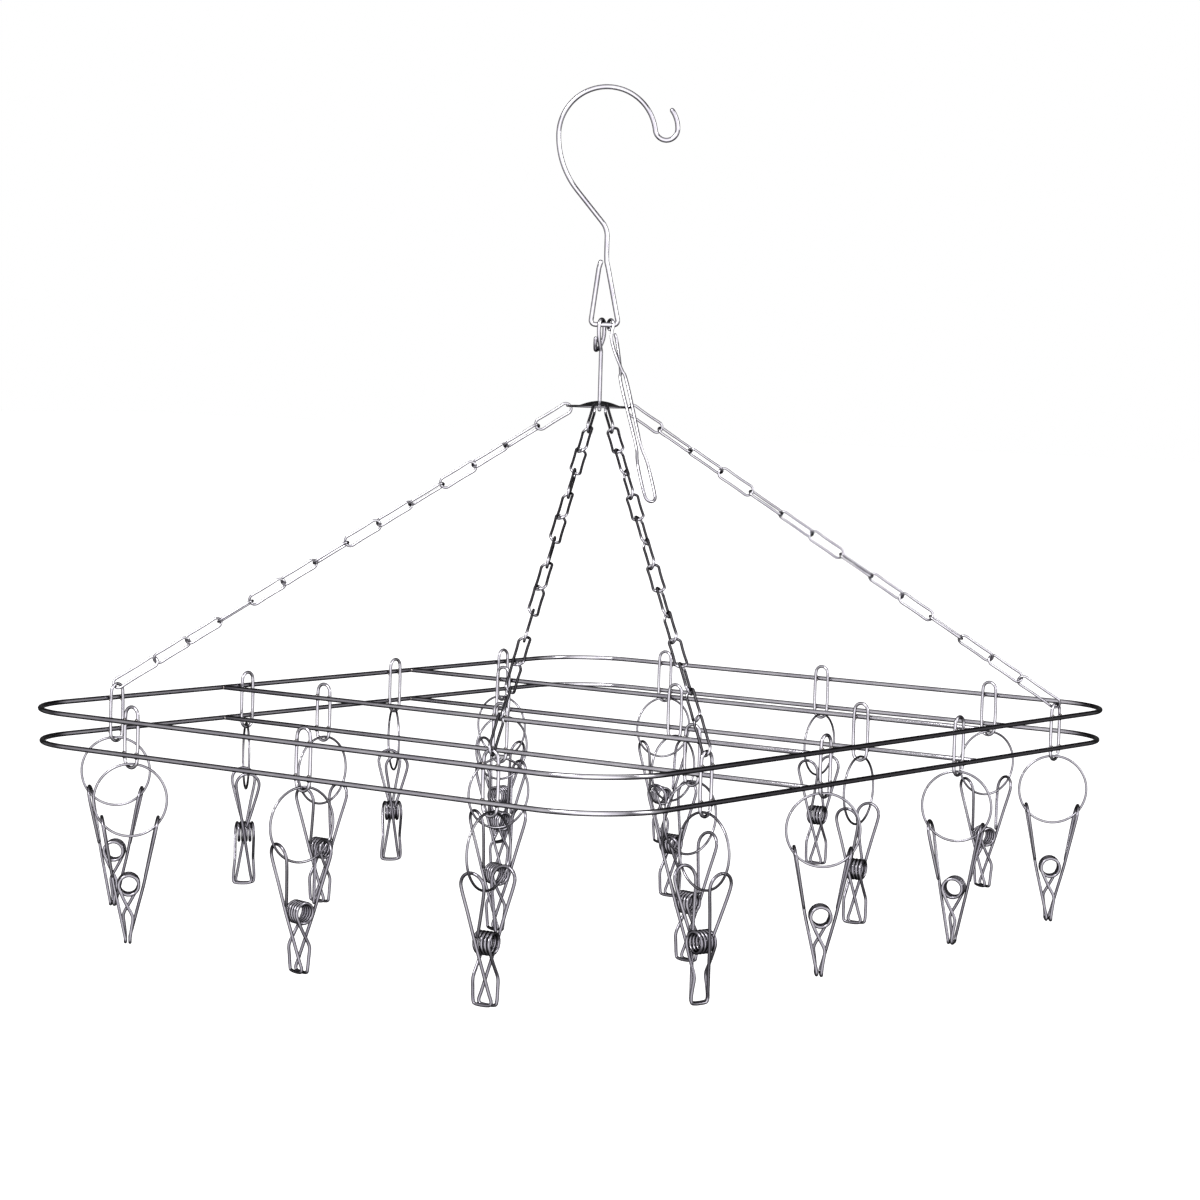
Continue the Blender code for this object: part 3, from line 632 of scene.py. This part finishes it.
def clip_mesh(top_drop):
    """One sprung wire clip, with its origin at the centre of its ring, its coil along X."""
    radius, pitch = COIL_DIAMETER / 2, CLIP_WIRE + CLEARANCE
    turns, steps = COIL_TURNS + COIL_LEAD / math.pi, 20
    count = int(turns * steps)
    coil = []
    for i in range(count + 1):
        angle = math.pi + COIL_LEAD - 2 * math.pi * turns * i / count
        coil.append((pitch * turns * (0.5 - i / count), radius * math.cos(angle), radius * math.sin(angle)))
    half = half_clip_path()
    first = smooth(half + coil[:3], 5)[:-10]
    other = [(-x, -y, z) for x, y, z in reversed(first)]
    points = [(x, y, z - CLIP_HANDLE - top_drop) for x, y, z in [*first, *coil[1:-1], *other]]
    return wire_mesh("clip", [points], CLIP_WIRE, sides=12)


def build_rings_and_clips(ring_steel, clip_steel):
    radius, path = ring_shape()
    ring = wire_mesh("ring", [path], RING_WIRE, sides=12)
    inner = radius - (CLIP_WIRE + RING_WIRE) / 2 - CLEARANCE
    clip = clip_mesh(math.sqrt(inner ** 2 - (CLIP_SPREAD / 2) ** 2))
    for number in range(1, SITES + 1):
        joint = JOINTS[f"clip_{number:02d}_slide"]
        normal = Vector(joint["axis"])
        axes = Matrix((normal, UP.cross(normal), UP)).transposed().to_4x4()
        matrix = Matrix.Translation(joint["pos_m"]) @ axes
        ring_name, clip_name = f"ring_{number:02d}", f"clip_{number:02d}"
        add_piece(ring_name + "_wire", ring, ring_steel, ring_name,
                  matrix=matrix, nodes=(ring_name,))
        add_piece(clip_name + "_wire", clip, clip_steel, clip_name,
                  matrix=matrix, nodes=(clip_name,))


# ---------------------------------------------------------------- studio

VIEW_TURN = math.radians(36.8)
VIEW_DISTANCE = 1.5
VIEW_HEIGHT = -0.115
VIEW_PITCH = -0.0745
VIEW_YAW = -0.0018
VIEW_ROLL = 0.0285
VIEW_LENS = 100.7


def build_camera():
    forward_plan = horizontal(VIEW_TURN)
    place = -forward_plan * VIEW_DISTANCE + UP * VIEW_HEIGHT
    plan = horizontal(VIEW_TURN + VIEW_YAW)
    forward = plan * math.cos(VIEW_PITCH) + UP * math.sin(VIEW_PITCH)
    right = plan.cross(UP)
    right = (Matrix.Rotation(-VIEW_ROLL, 3, forward) @ right).normalized()
    up = right.cross(forward)
    data = bpy.data.cameras.new("camera")
    data.lens = VIEW_LENS
    data.sensor_width = 36
    data.clip_end = 50
    camera = bpy.data.objects.new("camera", data)
    bpy.context.scene.collection.objects.link(camera)
    camera.matrix_world = Matrix.Translation(place) @ Matrix((right, up, -forward)).transposed().to_4x4()
    bpy.context.scene.camera = camera


def build_world():
    """Dark surroundings with white before the object, overhead and to both sides, and a white backdrop."""
    world = bpy.data.worlds.new("studio")
    bpy.context.scene.world = world
    world.use_nodes = True
    nodes, links = world.node_tree.nodes, world.node_tree.links
    background = nodes["Background"]
    place = nodes.new("ShaderNodeTexCoord")

    def band(direction, levels):
        """Brightness by how nearly a ray points along the direction, from 0, away from it, to 1."""
        along = nodes.new("ShaderNodeVectorMath")
        along.operation = "DOT_PRODUCT"
        along.inputs[1].default_value = direction
        links.new(place.outputs["Generated"], along.inputs[0])
        half = nodes.new("ShaderNodeMapRange")
        half.inputs["From Min"].default_value = -1.0
        links.new(along.outputs["Value"], half.inputs["Value"])
        ramp = nodes.new("ShaderNodeValToRGB")
        ramp.color_ramp.elements[1].position = 1.0
        for position, level in levels:
            if position in (0.0, 1.0):
                element = ramp.color_ramp.elements[0 if position == 0.0 else -1]
            else:
                element = ramp.color_ramp.elements.new(position)
            element.color = (level, level * 0.985, level * 1.015, 1)
        links.new(half.outputs["Result"], ramp.inputs["Fac"])
        return ramp.outputs["Color"]

    view = horizontal(VIEW_TURN)
    ahead = band(-view, ((0.0, 0.03), (0.62, 0.015), (0.80, 0.08), (0.90, 1.0), (1.0, 1.6)))
    above = band(UP, ((0.0, 0.30), (0.2, 0.04), (0.78, 0.02), (0.9, 0.75), (1.0, 1.0)))
    side = band(view.cross(UP), ((0.0, 0.85), (0.1, 0.5), (0.17, 0.0), (0.86, 0.0), (0.93, 0.5), (1.0, 0.9)))
    total = nodes.new("ShaderNodeVectorMath")
    total.operation = "ADD"
    links.new(ahead, total.inputs[0])
    links.new(above, total.inputs[1])
    whole = nodes.new("ShaderNodeVectorMath")
    whole.operation = "ADD"
    links.new(total.outputs[0], whole.inputs[0])
    links.new(side, whole.inputs[1])
    rays = nodes.new("ShaderNodeLightPath")
    mix = nodes.new("ShaderNodeMix")
    mix.data_type = "RGBA"
    links.new(rays.outputs["Is Camera Ray"], mix.inputs["Factor"])
    links.new(whole.outputs[0], mix.inputs[6])
    mix.inputs[7].default_value = (1.0, 1.0, 1.0, 1.0)
    links.new(mix.outputs[2], background.inputs["Color"])
    background.inputs["Strength"].default_value = 1.0


def add_softbox(name, place, target, size, power):
    data = bpy.data.lights.new(name, "AREA")
    data.shape = "RECTANGLE"
    data.size, data.size_y = size
    data.energy = power
    light = bpy.data.objects.new(name, data)
    bpy.context.scene.collection.objects.link(light)
    aim = (Vector(target) - Vector(place)).to_track_quat("-Z", "Y")
    light.matrix_world = Matrix.Translation(place) @ aim.to_matrix().to_4x4()


def build_floor():
    """A wide pale floor well below the hanger."""
    mesh = bpy.data.meshes.new("floor")
    reach, z = 30.0, -1.1
    mesh.from_pydata([(-reach, -reach, z), (reach, -reach, z), (reach, reach, z), (-reach, reach, z)], [],
                     [(0, 1, 2, 3)])
    floor = bpy.data.objects.new("floor", mesh)
    bpy.context.scene.collection.objects.link(floor)
    material = bpy.data.materials.new("floor")
    material.use_nodes = True
    nodes, links = material.node_tree.nodes, material.node_tree.links
    shader = nodes["Principled BSDF"]
    shader.inputs["Base Color"].default_value = (0.6, 0.6, 0.6, 1)
    shader.inputs["Roughness"].default_value = 0.9
    shader.inputs["Specular IOR Level"].default_value = 0.0
    shader.inputs["Emission Color"].default_value = (1, 1, 1, 1)
    shader.inputs["Emission Strength"].default_value = 0.9
    mesh.materials.append(material)
    floor.visible_glossy = False


def build_studio():
    scene = bpy.context.scene
    scene.view_settings.view_transform = "Standard"
    scene.view_settings.look = "None"
    build_world()
    build_floor()
    view = horizontal(VIEW_TURN)
    right = view.cross(UP)
    add_softbox("key", -view * 1.2 - right * 0.9 + UP * 0.9, (0, 0, -0.2), (0.7, 0.7), 14)
    add_softbox("fill", -view * 0.6 + right * 1.3 + UP * 0.4, (0, 0, -0.25), (0.5, 0.9), 6)
    build_camera()


def main():
    hook_steel = steel("hook_steel", (0.90, 0.89, 0.92), 0.10, 900)
    frame_steel = steel("frame_steel", (0.92, 0.91, 0.94), 0.12, 800)
    chain_steel = steel("chain_steel", (0.80, 0.79, 0.82), 0.14, 1400)
    ring_steel = steel("ring_steel", (0.50, 0.49, 0.52), 0.14, 1500)
    clip_steel = steel("clip_steel", (0.42, 0.41, 0.44), 0.14, 1300)
    build_hook(hook_steel)
    build_rod(hook_steel)
    build_safety_clip(hook_steel)
    build_plate(chain_steel)
    for name in CHAINS:
        build_chain(name, chain_steel)
    build_frame(frame_steel, weld_material())
    build_rings_and_clips(ring_steel, clip_steel)
    build_studio()


main()
